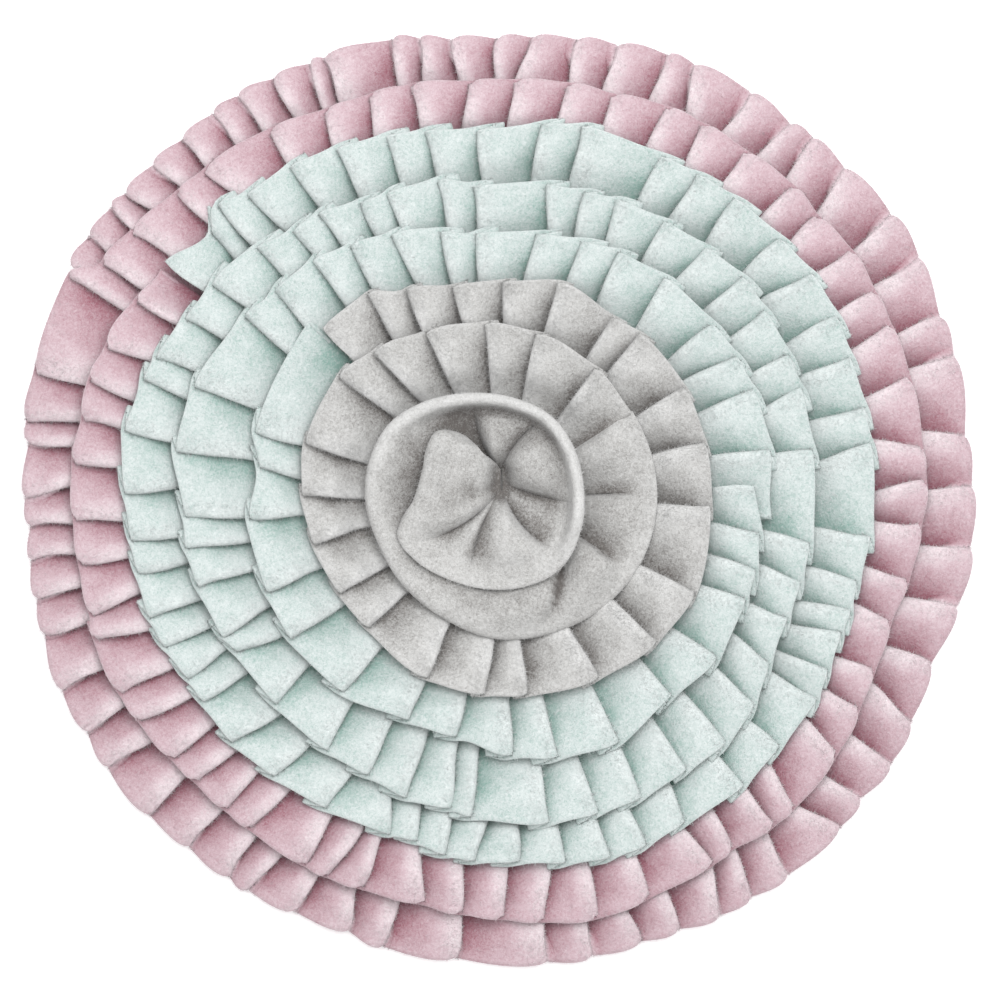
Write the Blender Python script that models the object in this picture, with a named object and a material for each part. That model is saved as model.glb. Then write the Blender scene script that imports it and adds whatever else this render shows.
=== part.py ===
"""Snuffle mat: knife-pleated fleece strips sewn to a round felt base along one spiral seam.

The seam starts at the rim of the base and runs clockwise inward. The pink strip is outermost, then two
lengths of mint strip, then the grey strip, whose last turn stands up round a cup in the middle and is
gathered at the cup's floor. Each strip is one sheet: its seam edge lies on the base, its free edge (the
hem) lies on the turn outside it, and its pleats are real three-layer folds.

Angles are in degrees, counter-clockwise from +X. Lengths are in millimetres, and the meshes in metres.
The origin is the middle of the base's underside, which rests on the floor.
"""
import math
from collections import namedtuple

import bmesh
import bpy
from mathutils import Vector

MM = 0.001

# The base
BASE_RADIUS = 162.0
BASE_THICK = 2.5
BASE_SIDES = 72

# The cloth and its pleats
CLOTH = 1.5  # thickness of the fleece
LAYER_GAP = 0.4  # between the layers of a fold
PIECE_GAP = 0.3  # between pieces that touch
LAYER = CLOTH + LAYER_GAP  # from the middle of one layer to the next
FOLD_TOP = 2.8 * LAYER  # a fold's upper layer, above the lowest layer
FOLD_DIP = 0.2  # how far a fold's corners reach past its layers
MITRE = 1.45  # longest corner of a fold, as a share of half the cloth
UNDERLAP = 0.22  # how far a pleat folds back under itself, as a share of the narrower panel beside it
LEAST_UNDERLAP = 2.0  # the same at the seam
STEP = 7.6  # most degrees from one crease or station to the next

# The seam: a ring for most of each turn, which steps in by one pitch at the upper left
SEAM_ANGLE = 155.0
SEAM_RADIUS = 153.5  # of the first ring
SEAM_PITCH = 21.5
SEAM_STEP = (-0.12, 0.14)  # where the seam steps in, in turns on either side of a whole turn
TURNS_IN = 7
START_OUT = 9.0  # the first end is sewn this much further out
START_FADE = 0.2
SEAM_HEIGHT = BASE_THICK + PIECE_GAP
TURN_LIFT = 7.7  # a turn lies this much higher than the turn outside it
HEM_ON_FLOOR = 0.6  # height of the outermost hem
FLOOR_REACH = 36.0  # longest way from the bend of the outermost turn to its hem
DROOP = (0.6, 0.94)  # turns, where the first turn's bend moves in to the base's edge
CLIMB = (0.94, 0.99)  # turns, where the strip climbs onto its own first end

# The cup: turns from the start
CUP_FROM = 6.7
CUP_FULL = 7.2
RING_RADIUS = 4.5  # where the cloth is gathered
RING_X, RING_Y = 1.5, 8.0  # the middle of the gathers
RING_HEIGHT = 3.6  # underside of the gathers where they begin
RING_RISE = 4.0  # how far the gathers climb on themselves by the strip's end
STRIP_END = 8.1
BOWL = 1.1  # a wall's curve between gathers and rim, 1 for straight

# edge: angle of the section's first fold; pleats: folds from there to the next row, 0 for smooth cloth;
# hem: radius of the free edge there. A row is a run of like pleats. Angles go down as the strip goes on.
Section = namedtuple("Section", "edge pleats hem")

PINK = [
    Section(*row)
    for row in (
        (152, 2, 194), (144, 5, 194), (122, 3, 192), (111, 1, 192), (104, 4, 190), (87, 3, 188.5),
        (69, 4, 192), (48, 4, 192), (22.5, 1, 193), (17, 2, 192), (1, 1, 190), (353, 5, 190),
        (319.5, 2, 190), (308, 2, 190), (299.5, 4, 190), (275, 2, 184), (255.5, 5, 185), (227, 4, 189),
        (202, 3, 193), (186.5, 2, 190.5), (178, 3, 192), (164, 1, 193), (154, 1, 191),
        (148.5, 3, 184), (129.5, 3, 176), (108.5, 3, 170.5), (88, 3, 168), (67, 3, 170), (47.5, 4, 171),
        (22.5, 3, 172), (1.5, 3, 171), (343, 1, 164), (335, 2, 165), (324, 1, 168), (315.5, 3, 169.5),
        (298.5, 2, 168), (283.5, 3, 171), (264.5, 2, 165.5), (251, 2, 165), (242, 1, 165),
        (233.5, 4, 165), (212.5, 2, 169), (200, 2, 171), (189, 3, 171), (168.5, 1, 171),
        (165, 1, 172), (157.5, 2, 169.5), (146.2, 0, 163),
    )
]
MINT = [
    Section(*row)
    for row in (
        (145.4, 1, 165), (137.5, 2, 164), (128, 5, 159), (93, 2, 149), (76.5, 1, 154), (65.5, 4, 152.5),
        (36.5, 4, 155), (6, 1, 150), (354.5, 2, 148.5), (341, 3, 147), (326.5, 4, 150), (292, 3, 150),
        (273, 4, 146), (249, 4, 141), (214.5, 5, 145), (186, 2, 149.5), (170, 2, 153),
        (162.5, 3, 151), (141.5, 2, 144), (126, 3, 137), (109.5, 1, 131), (100, 1, 130), (93.5, 1, 127),
        (79.5, 1, 128), (74.5, 4, 129), (42, 4, 132), (9.5, 1, 127), (353, 2, 126), (337, 3, 125),
        (313, 3, 133), (286, 1, 131), (277.5, 1, 131), (265, 1, 127), (260, 2, 126), (243.5, 1, 123),
        (233.5, 1, 123), (221, 1, 122.5), (211, 1, 123), (205, 1, 125), (194.5, 2, 127), (183, 1, 127),
        (171, 1, 132), (160.5, 2, 131), (150, 1, 127), (141, 1, 123), (128.5, 1, 121), (120.5, 1, 119),
        (110, 2, 114), (95, 1, 107), (83, 1, 107.5), (72.5, 1, 108.5), (64, 1, 110),
        (52, 1, 112), (40, 2, 111), (23.5, 1, 110.5), (11, 1, 110), (-1, 0, 108),
    )
]
MINT_END = [
    Section(*row)
    for row in (
        (358.5, 1, 107.5), (353, 1, 105.5), (345, 1, 106), (336, 1, 107), (322.5, 1, 108),
        (310, 1, 105), (296, 1, 108), (281, 1, 105), (272, 1, 103), (260.5, 1, 97.5), (246, 1, 96.5),
        (231.5, 1, 100), (213, 1, 101), (200, 1, 101), (185, 1, 100.5), (171, 2, 102), (155, 1, 100),
        (137.5, 0, 103),
    )
]
GREY = [
    Section(*row)
    for row in (
        (136.8, 1, 99), (123, 1, 98), (114.5, 1, 92), (101, 1, 88), (88, 1, 88), (74, 1, 91),
        (57.5, 1, 86), (48.5, 1, 87), (31, 1, 87), (16, 1, 86), (357, 1, 85), (334.5, 1, 87),
        (317, 1, 85), (298, 1, 82), (278, 1, 80), (266, 1, 79), (247.5, 1, 78), (223.5, 1, 75),
        (209, 1, 75), (191, 1, 77), (178, 1, 79), (164, 1, 82), (141, 1, 81), (128, 1, 78),
        (112, 1, 74), (93, 1, 71), (77, 1, 69), (53, 1, 65), (34, 0, 63.5), (0, 0, 62), (330, 0, 61),
        (300, 0, 56), (250, 0, 52.5), (200, 0, 53.5), (150, 0, 54), (120, 0, 46.5), (90, 0, 41.5),
        (60, 0, 39), (30, 0, 35.5), (0, 0, 33), (330, 0, 35), (300, 0, 37), (270, 0, 36), (240, 0, 37.5),
        (220, 0, 41), (200, 0, 43.5), (180, 0, 34), (160, 0, 33), (137, 0, 37), (129, 0, 36),
        (119, 0, 30),
    )
]

# The cup's rim: turns from the start, and height of the rim's underside there
Rim = namedtuple("Rim", "turns height")
RIM = (Rim(6.7, 15.5), Rim(6.9, 17), Rim(7.0, 19.5), Rim(7.15, 24), Rim(7.4, 26), Rim(7.6, 22),
       Rim(7.75, 18), Rim(7.88, 17), Rim(7.96, 18.5), Rim(8.1, 20.5))

# The cup's soft folds, each a rounded ridge from the gathers towards the rim
Lobe = namedtuple("Lobe", "first last crown")
LOBES = (Lobe(112, 46, 5), Lobe(46, -15, 6), Lobe(-15, -55, 1.5), Lobe(-55, -106, 5),
         Lobe(-106, -146, 3.5), Lobe(-146, -250, 7))
CUP_TURN = 7  # the lobes' angles are counted in this turn


def between(low, high, x):
    """0 below low, 1 above high, and a smooth change from one to the other."""
    t = min(1.0, max(0.0, (x - low) / (high - low)))
    return t * t * (3 - 2 * t)


def turns_at(angle):
    """How far along the seam an unwrapped angle is, in turns from the pink strip's start."""
    return (SEAM_ANGLE - angle) / 360


def unwrapped(sections, first_turn):
    """The sections with angles that go down without a break, from a given whole turn of the seam on."""
    lap, rows = 360 * first_turn, []
    for row in sections:
        angle = row.edge - lap
        if rows and angle > rows[-1].edge:
            lap += 360
            angle -= 360
        rows.append(row._replace(edge=angle))
    return rows


def stations(rows):
    """Where the middle of the cloth turns: (angle, height above the lowest layer), in sewing order."""
    points = [(rows[0].edge, FOLD_TOP / 2)]
    before = (rows[0].edge - rows[1].edge) / rows[0].pleats
    for row, after in zip(rows, rows[1:]):
        width = (row.edge - after.edge) / max(row.pleats, 1)
        if row.pleats == 0:
            run_to(points, row.edge, 0.0)
        for k in range(row.pleats):
            edge = row.edge - k * width
            if edge < rows[0].edge:
                least = math.degrees(LEAST_UNDERLAP / seam_at(turns_at(edge)))
                inner = edge - max(UNDERLAP * min(before, width), least)
                run_to(points, inner, 0.0)
                points += [(inner, LAYER), (edge, FOLD_TOP - LAYER), (edge, FOLD_TOP)]
            before = width
    run_to(points, rows[-1].edge, 0.0)
    return points


def run_to(points, angle, height):
    """Carry the cloth on to an angle, in even steps, so that a wide panel still follows its turn."""
    start, level = points[-1]
    steps = max(1, math.ceil((start - angle) / STEP))
    for k in range(1, steps + 1):
        share = k / steps
        points.append((start + (angle - start) * share, level + (height - level) * share))


def hem_at(rows, angle):
    """Radius of the free edge at an unwrapped angle."""
    for a, b in zip(rows, rows[1:]):
        if angle >= b.edge:
            return a.hem + (b.hem - a.hem) * between(a.edge, b.edge, angle)
    return rows[-1].hem


def seam_at(turns):
    """Radius of the seam, which ends as the small ring where the cup is gathered."""
    low, high = SEAM_STEP
    steps = sum(between(k + low, k + high, turns) for k in range(1, TURNS_IN + 1))
    radius = SEAM_RADIUS + START_OUT * (1 - between(0, START_FADE, turns)) - SEAM_PITCH * steps
    return max(radius, RING_RADIUS)


def bend_at(turns):
    """Radius where a strip bends: at the seam of the turn outside, which it lies over."""
    own, outside = seam_at(turns) + SEAM_PITCH, seam_at(turns - 1)
    return own + (outside - own) * between(*DROOP, turns)


def underside(turns, radius):
    """Height of a strip's lowest layer outside the cup: it lies on the base, then on the turn outside."""
    seam, bend, climb = seam_at(turns), bend_at(turns), between(*CLIMB, turns)
    if radius <= bend:
        return SEAM_HEIGHT + climb * TURN_LIFT * (radius - seam) / (bend - seam)
    rise = between(*CLIMB, turns - 1) * TURN_LIFT / (bend_at(turns - 1) - bend)
    drop = (1 - climb) * (SEAM_HEIGHT - HEM_ON_FLOOR) / FLOOR_REACH
    return SEAM_HEIGHT + climb * TURN_LIFT + (rise - drop) * (radius - bend)


def rim_height(turns):
    for a, b in zip(RIM, RIM[1:]):
        if turns <= b.turns:
            return a.height + (b.height - a.height) * between(a.turns, b.turns, turns)
    return RIM[-1].height


def lobe_height(angle, share):
    """How far a soft fold stands above the cup's wall, share of the way from the gathers to the rim."""
    local = angle + 360 * CUP_TURN
    for lobe in LOBES:
        if lobe.last < local < lobe.first:
            across = (lobe.first - local) / (lobe.first - lobe.last)
            return lobe.crown * math.sin(math.pi * across) ** 0.7 * math.sin(math.pi * share ** 0.8)
    return 0.0


def cloth_point(rows, angle, height, share):
    """Middle of the cloth at a share of its width from seam to hem."""
    turns = turns_at(angle)
    along = math.radians(angle)
    seam, hem = seam_at(turns), hem_at(rows, angle)
    cup = between(CUP_FROM, CUP_FULL, turns)
    x = cup * RING_X * (1 - share)
    y = cup * RING_Y * (1 - share)
    radius = seam + (hem - seam) * share
    if turns <= CUP_FROM:
        z = underside(turns, radius)
    else:
        low = SEAM_HEIGHT + (RING_HEIGHT - SEAM_HEIGHT) * cup
        low += RING_RISE * between(CUP_FROM, STRIP_END, turns)
        curve = 1 + (BOWL - 1) * cup
        z = low + (rim_height(turns) - low) * share ** curve + lobe_height(angle, share)
    z += CLOTH / 2 + FOLD_DIP + height
    return Vector((x + radius * math.cos(along), y + radius * math.sin(along), z))


def width_shares(turns, hem, count):
    """Where the rows of points lie across the strip. With three, the middle one is over the next seam."""
    if count == 3:
        seam = seam_at(turns)
        return (0.0, min((bend_at(turns) - seam) / (hem - seam), 0.8), 1.0)
    return [k / (count - 1) for k in range(count)]


def fleece(name, colour):
    """A soft, dull cloth."""
    material = bpy.data.materials.new(name)
    material.use_nodes = True
    shader = material.node_tree.nodes["Principled BSDF"]
    shader.inputs["Base Color"].default_value = (*colour, 1)
    shader.inputs["Roughness"].default_value = 0.95
    shader.inputs["Metallic"].default_value = 0.0
    return material


def add_object(name, mesh_builder, material):
    mesh = bpy.data.meshes.new(name)
    mesh_builder.to_mesh(mesh)
    mesh_builder.free()
    mesh.materials.append(material)
    piece = bpy.data.objects.new(name, mesh)
    bpy.context.scene.collection.objects.link(piece)
    return piece


def make_base():
    """The round felt base, flat underneath."""
    disc = bmesh.new()
    bmesh.ops.create_cone(
        disc, cap_ends=True, segments=BASE_SIDES, radius1=BASE_RADIUS * MM, radius2=BASE_RADIUS * MM,
        depth=BASE_THICK * MM,
    )
    bmesh.ops.translate(disc, verts=disc.verts, vec=(0, 0, BASE_THICK / 2 * MM))
    return add_object("base_cloth", disc, fleece("felt_white", (0.78, 0.77, 0.75)))


def half_cloth(lines, i, k):
    """From the middle of the cloth to its upper face, square to the cloth on both sides of a fold."""
    line = lines[i]
    out = line[min(k + 1, len(line) - 1)] - line[max(k - 1, 0)]
    sides = []
    for a, b in ((i - 1, i), (i, i + 1)):
        if a >= 0 and b < len(lines):
            sides.append(out.cross(lines[b][k] - lines[a][k]).normalized())
    corner = sum(sides, Vector()).normalized()
    return corner * CLOTH / 2 * min(MITRE, 1 / corner.dot(sides[0]))


def make_strip(name, sections, first_turn, across, material):
    """One pleated strip: a grid of points through the middle of the cloth, then its two faces and edges."""
    rows = unwrapped(sections, first_turn)
    lines = []
    for angle, height in stations(rows):
        shares = width_shares(turns_at(angle), hem_at(rows, angle), across)
        lines.append([cloth_point(rows, angle, height, share) for share in shares])
    cloth = bmesh.new()
    upper, lower = [], []
    for i, line in enumerate(lines):
        halves = [half_cloth(lines, i, k) for k in range(across)]
        upper.append([cloth.verts.new((p + h) * MM) for p, h in zip(line, halves)])
        lower.append([cloth.verts.new((p - h) * MM) for p, h in zip(line, halves)])
    last = across - 1
    for i in range(len(lines) - 1):
        for k in range(last):
            cloth.faces.new((upper[i][k], upper[i][k + 1], upper[i + 1][k + 1], upper[i + 1][k]))
            cloth.faces.new((lower[i][k], lower[i + 1][k], lower[i + 1][k + 1], lower[i][k + 1]))
        cloth.faces.new((upper[i][0], upper[i + 1][0], lower[i + 1][0], lower[i][0]))
        cloth.faces.new((upper[i][last], lower[i][last], lower[i + 1][last], upper[i + 1][last]))
    for k in range(last):
        cloth.faces.new((upper[0][k], lower[0][k], lower[0][k + 1], upper[0][k + 1]))
        cloth.faces.new((upper[-1][k], upper[-1][k + 1], lower[-1][k + 1], lower[-1][k]))
    bmesh.ops.recalc_face_normals(cloth, faces=cloth.faces)
    return add_object(name, cloth, material)


def main():
    for old in list(bpy.data.objects):
        bpy.data.objects.remove(old)
    make_base()
    mint = fleece("fleece_mint", (0.66, 0.76, 0.73))
    make_strip("pink_ruffle", PINK, 0, 3, fleece("fleece_pink", (0.72, 0.52, 0.57)))
    make_strip("mint_ruffle", MINT, 2, 2, mint)
    make_strip("mint_ruffle_end", MINT_END, 5, 2, mint)
    make_strip("grey_ruffle", GREY, 5, 5, fleece("fleece_grey", (0.56, 0.55, 0.54)))


main()
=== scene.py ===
"""Snuffle mat: knife-pleated fleece strips, gathered round a soft cup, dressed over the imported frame.

Each strip is one closed sheet, finely laid: it runs down from one fold, tucks under the next, comes back and
turns over again. Its inner edge is sewn to the base along a spiral and its free edge, the hem, lies on the
turn outside it. Angles are in degrees, counter-clockwise from +X; lengths inside the layout functions are
in millimetres, and the meshes are in metres.
"""
import math
import random
from collections import namedtuple

import bmesh
import bpy
import numpy as np
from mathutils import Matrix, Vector, noise
from mathutils.bvhtree import BVHTree


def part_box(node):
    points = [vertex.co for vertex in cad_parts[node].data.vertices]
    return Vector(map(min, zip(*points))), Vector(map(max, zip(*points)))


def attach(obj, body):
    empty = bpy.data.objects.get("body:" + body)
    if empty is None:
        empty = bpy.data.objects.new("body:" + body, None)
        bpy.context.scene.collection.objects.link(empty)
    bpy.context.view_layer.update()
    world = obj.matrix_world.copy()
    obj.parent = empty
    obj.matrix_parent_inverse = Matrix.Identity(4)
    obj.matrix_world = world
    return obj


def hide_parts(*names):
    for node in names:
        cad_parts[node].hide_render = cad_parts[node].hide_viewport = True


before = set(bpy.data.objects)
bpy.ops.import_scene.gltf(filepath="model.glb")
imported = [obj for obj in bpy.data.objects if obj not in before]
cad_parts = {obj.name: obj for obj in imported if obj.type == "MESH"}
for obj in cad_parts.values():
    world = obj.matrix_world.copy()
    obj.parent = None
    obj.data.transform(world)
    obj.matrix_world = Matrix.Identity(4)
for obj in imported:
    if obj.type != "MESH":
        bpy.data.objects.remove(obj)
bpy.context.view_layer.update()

bl_info = {
    "name": "Snuffle Mat",
    "version": (1, 0, 0),
    "blender": (4, 5, 0),
    "location": "View3D > Sidebar > Snuffle Mat",
    "description": "Builds a round fleece snuffle mat of pleated ruffles and its studio stage",
    "category": "Add Mesh",
}

MM = 0.001
BODY = "root"

# The base and the spiral seam, as in the frame
BASE_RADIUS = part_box("base_cloth")[1][0] / MM
BASE_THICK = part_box("base_cloth")[1][2] / MM
BASE_RINGS = 12
BASE_EDGE = 6  # steps round its cut edge
BASE_SIDES = 180
BASE_UNEVEN = 0.5  # how far the cut strays, in mm
BASE_WAVES = 3.0
BASE_TRIM = 0.5
BASE_EDGE_POWER = 8  # the stray is felt only near the edge
SEAM_ANGLE = 155.0
SEAM_RADIUS = 153.5
SEAM_PITCH = 21.5
SEAM_STEP = (-0.12, 0.14)  # where the seam steps in, in turns on either side of a whole turn
TURNS_IN = 7  # whole turns after which it does
START_OUT = 9.0  # the first end is sewn this much further out
START_FADE = 0.2  # turns over which it comes in
PIECE_GAP = 0.3
SEAM_HEIGHT = BASE_THICK + PIECE_GAP
TURN_LIFT = 7.7  # a turn lies this much higher than the turn outside it
HEM_ON_FLOOR = 0.6  # height of the outermost hem
FLOOR_REACH = 36.0  # from the outermost seam to that hem
DROOP = (0.6, 0.94)  # turns over which the bend moves out to the seam of the turn outside
CLIMB = (0.94, 0.99)  # turns over which the strip climbs onto its own first turn

# The cup: turns from the start
SHAPED = (6.42, 6.6)  # here the strip stops lying on the turn outside and takes the shapes below
CUP_FROM = 6.7
CUP_FULL = 7.2
RING_RADIUS = 4.5
RING_X, RING_Y = 0.6, 8.3  # middle of the gathered ring
PIT_ACROSS, PIT_ALONG = 0.5, 4.5  # half the gathered ring's width and length
RING_HEIGHT = 3.6
RING_RISE = 4.0  # from the ring's start to the strip's end
STRIP_END = 8.1

# A run of like pleats. edge: angle of its first fold; pleats: folds from there to the next row, 0 for smooth
# cloth; hem: radius of the free edge there. Angles go down as the strip goes on.
Section = namedtuple("Section", "edge pleats hem")


def rows_of(*rows):
    return [Section(*row) for row in rows]


PINK = rows_of(
    (152, 2, 197), (144, 5, 195), (122, 3, 193), (111, 1, 192), (104, 2, 190.5), (95.5, 2, 186.5),
    (87, 3, 187), (69, 4, 191.5), (48, 2, 192), (35.2, 2, 196), (22.5, 1, 192.5), (17, 2, 191),
    (1, 1, 189.5), (353, 2, 189.5), (339.6, 3, 186.5), (319.5, 2, 189.5), (308, 2, 189.5),
    (299.5, 4, 188.5), (275, 2, 186), (255.5, 1, 186.5), (250, 4, 184.5), (227, 2, 188.5), (214.5, 2, 191),
    (202, 3, 192.5), (186.5, 2, 189.5), (178, 3, 191), (164, 1, 194), (152.5, 1, 195.5), (149, 3, 185),
    (129.5, 3, 176), (108.5, 3, 170.5), (88, 3, 168), (67, 3, 170), (47.5, 4, 171), (22.5, 3, 172),
    (1.5, 3, 171), (343, 1, 164), (335, 2, 165), (324, 1, 168), (315.5, 3, 169.5), (298.5, 2, 168),
    (283.5, 3, 171), (264.5, 2, 165.5), (251, 2, 165), (242, 1, 165), (233.5, 4, 165), (212.5, 2, 169),
    (200, 2, 171), (189, 3, 171), (168.5, 1, 171), (165, 1, 172), (157.5, 2, 169.5), (146.2, 0, 163),
)
MINT = rows_of(
    (145.4, 1, 165), (137.6, 1, 157), (134.4, 1, 163.5), (128, 5, 159), (93, 2, 149), (76.5, 1, 154),
    (65.5, 4, 152.5), (36.5, 4, 155), (6, 1, 150), (354.5, 2, 148.5), (341, 3, 147), (326.5, 4, 150),
    (292, 3, 150), (273, 4, 146), (249, 4, 141), (214.5, 5, 145), (186, 2, 149.5), (170, 1, 153),
    (162.5, 3, 151), (141.5, 2, 144), (126, 3, 137), (109.5, 1, 131), (100, 1, 130), (93.5, 1, 127),
    (79.5, 1, 128), (74.5, 4, 129), (42, 4, 132), (9.5, 1, 127), (353, 2, 126), (337, 3, 125),
    (313, 3, 133), (286, 1, 131), (277.5, 1, 131), (265, 1, 127), (260, 2, 126), (243.5, 1, 123),
    (233.5, 1, 123), (221, 1, 122.5), (211, 1, 123), (205, 1, 125), (194.5, 2, 127), (183, 1, 127),
    (171, 1, 132), (159.5, 1, 131), (144.8, 1, 126), (138.5, 1, 123), (127.5, 1, 121), (120.5, 1, 119),
    (110, 2, 114), (95, 1, 107), (83, 1, 107.5), (72.5, 1, 108.5), (64, 1, 110), (52, 1, 112), (40, 2, 111),
    (23.5, 1, 110.5), (11, 1, 110), (-3, 0, 107.3),
)
MINT_END = rows_of(
    (364, 1, 102), (353, 1, 104.5), (345, 1, 106), (336, 1, 107), (322.5, 1, 108), (310, 1, 105),
    (296, 1, 108), (281, 1, 105), (272, 1, 103), (260.5, 1, 97.5), (246, 1, 96.5), (231.5, 1, 100),
    (213, 1, 101), (200, 1, 101), (185, 1, 102), (172.5, 1, 98), (164.5, 1, 102.5), (137.5, 0, 103),
)
GREY = rows_of(
    (136.8, 1, 99), (123, 1, 98), (114.5, 1, 92), (101, 1, 88), (88, 1, 88), (74, 1, 91), (57.5, 1, 86),
    (48.5, 1, 87), (31, 1, 87), (16, 1, 86), (357, 1, 85), (334.5, 1, 87), (317, 1, 85), (298, 1, 82),
    (278, 1, 80), (266, 1, 79), (247.5, 1, 78), (223.5, 1, 75), (209, 1, 75), (191, 1, 77), (178, 1, 79),
    (164, 1, 82), (141, 1, 81), (128, 1, 78), (112, 1, 74), (93, 1, 71), (77, 1, 69), (53, 1, 65),
    (34, 0, 63.5), (15, 0, 63), (355, 0, 62.5), (335, 0, 61.5), (315, 0, 59.5), (292, 0, 57),
    (267, 0, 55.2), (245, 0, 52.2), (222, 0, 51.4), (200, 0, 51.5), (178, 0, 53.7), (160, 0, 54.2),
    (145, 0, 53.4), (130, 0, 49.8), (115, 0, 46), (101, 0, 43.2), (81, 0, 40.6), (60, 0, 39), (34, 0, 35.6),
    (9, 0, 33.4), (341, 0, 34.1), (312, 0, 36.3), (285, 0, 35.8), (261, 0, 35.8), (237, 0, 37.6),
    (214, 0, 41.6), (200, 0, 43.4), (192, 0, 40), (180, 0, 34.2), (160, 0, 32.8), (145, 0, 35.5),
    (133, 0, 37), (124, 0, 32.5), (119, 0, 28.5),
)

# sections: its rows; first_turn: the whole turn of the seam that its angles start from; start_up: how much
# higher its first end stands; hairs: how many its nap has; flat: width and length of the flat strip in metres
Strip = namedtuple("Strip", "name sections first_turn start_up style slot hairs flat lies_on")
STRIPS = (
    Strip("pink_ruffle", PINK, 0, 0, "pink", "fleece_pink", 42000, (0.042, 3.8), ()),
    Strip("mint_ruffle", MINT, 2, 0, "mint", "fleece_mint", 38000, (0.045, 3.6), ("pink_ruffle",)),
    Strip("mint_ruffle_end", MINT_END, 5, 2.5, "mint", "fleece_mint", 9000, (0.045, 0.62), ("mint_ruffle",)),
    Strip("grey_ruffle", GREY, 5, 0, "grey", "fleece_grey", 26000, (0.045, 1.4),
          ("mint_ruffle", "mint_ruffle_end")),
)

# Shapes of the smooth cloth from its seam to its hem, as shares of the height between them: flat by the
# pleats, the cup's wall, its rim, its bottom, and the last free end
SHAPE_AT = (0.0, 0.06, 0.12, 0.2, 0.3, 0.45, 0.6, 0.72, 0.82, 0.86, 0.9, 0.96, 1.0)
BAND = (0.0, 0.06, 0.14, 0.3, 0.55, 0.88, 0.97, 1.0, 0.99, 0.98, 0.96, 0.91, 0.80)
WALL = (0.0, 0.03, 0.06, 0.11, 0.18, 0.32, 0.50, 0.70, 0.89, 0.96, 1.0, 1.0, 0.90)
RIMMED = (0.0, 0.02, 0.04, 0.06, 0.09, 0.14, 0.22, 0.31, 0.40, 0.62, 0.97, 1.0, 0.93)
BOWL = (0.0, 0.02, 0.05, 0.09, 0.15, 0.27, 0.43, 0.58, 0.73, 0.80, 0.86, 0.95, 1.0)
FLAP = (0.0, 0.02, 0.05, 0.10, 0.20, 0.38, 0.60, 0.80, 0.94, 0.97, 0.98, 0.93, 0.76)

# Which shape the smooth cloth has at a turn, and how high its top is
Station = namedtuple("Station", "turns top shape")
STATIONS = (
    Station(6.34, 14.5, BAND), Station(6.6, 15.4, BAND), Station(6.75, 16.2, BAND), Station(6.88, 17.6, WALL),
    Station(7.0, 20.5, WALL), Station(7.12, 25.2, RIMMED), Station(7.46, 25.6, RIMMED),
    Station(7.57, 20.5, BOWL), Station(7.7, 17.4, BOWL), Station(7.84, 17.4, BOWL), Station(7.9, 18.2, FLAP),
    Station(8.06, 18.2, FLAP), Station(8.1, 15.5, FLAP),
)

# A soft fold between two valleys of the cup. near, far: angle of its first valley at the pit and at the rim;
# first, last: shares of its width over which it rounds off at its two valleys; dim_first, dim_last: shares
# of its width that get the valleys' painted shade
Lobe = namedtuple("Lobe", "near far crown first last dim_first dim_last")
LOBES = (
    Lobe(150, 150, 0.0, 1.0, 1.0, 0.01, 0.3), Lobe(118, 103, 12.5, 0.3, 0.95, 0.1, 0.6),
    Lobe(74, 60, 13.5, 0.4, 0.45, 0.12, 0.1), Lobe(-10, -3, 4.0, 0.7, 0.7, 0.7, 0.95),
    Lobe(-74, -38, 12.5, 0.35, 0.9, 0.05, 0.45), Lobe(-128, -110, 6.0, 0.25, 1.0, 0.3, 0.5),
    Lobe(-128, -156, 10.5, 0.12, 0.5, 0.02, 0.12), Lobe(-242, -257, 0.0, 1.0, 1.0, 0.01, 0.01),
)
LOBE_AT = (0.0, 0.04, 0.08, 0.14, 0.22, 0.32, 0.5, 0.65, 0.78, 0.9, 1.0)
LOBE_RISE = (0.0, 0.0, 0.08, 0.5, 0.9, 1.0, 0.95, 0.74, 0.28, 0.04, 0.0)
LOBE_BULGES = 5.0  # a soft fold with a higher crown stands out of the wall's painted shade
LOBE_CLEAR = 0.7  # how far it does
# shares of the cloth's width between which the valleys' painted shade fades out
VALLEY_FADES = (0.62, 0.84)
PIT_FADES = (0.08, 0.2)  # shares of the cloth's width between which the painted shade in the pit clears

# Soft dents in cloth that has no pleats. turns: from where on; x, y: middle; wide, long: half its width and
# half its length; sink: how far it sinks; dark: how much painted shade it gets
Dent = namedtuple("Dent", "turns x y wide long sink dark")
DENTS = (
    Dent(6.4, 24.8, -30.0, 1.9, 3.6, 0.8, 0.8), Dent(6.4, 22.4, -35.0, 1.9, 3.6, 0.8, 0.8),
    Dent(7.6, -12.0, 3.8, 2.2, 5.0, 1.8, 0.55), Dent(7.6, -23.0, -1.5, 4.5, 5.5, 1.2, 0.2),
    Dent(7.6, -17.5, 14.0, 5.0, 3.0, 0.8, 0.1), Dent(7.6, -17.0, 3.0, 12.0, 15.0, 0.0, 0.3),
)
DENT_FADE = 0.1  # turns over which a dent sets in

# Painted shade on the cup's wall below its rim. turns; dark: how strong the painted shade is; low, high: the
# shares of the width between which it clears
Dim = namedtuple("Dim", "turns dark low high")
DIMS = (
    Dim(6.3, 0.0, 0.5, 1.0), Dim(6.42, 0.3, 0.5, 1.05), Dim(6.7, 0.35, 0.4, 1.0), Dim(6.82, 0.9, 0.45, 0.96),
    Dim(7.02, 0.95, 0.55, 0.97), Dim(7.12, 1.0, 0.85, 0.9), Dim(7.3, 0.85, 0.85, 0.91),
    Dim(7.4, 0.65, 0.7, 0.94), Dim(7.5, 0.45, 0.6, 0.92), Dim(7.6, 0.0, 0.6, 0.9), Dim(8.2, 0.0, 0.6, 0.9),
)
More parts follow.
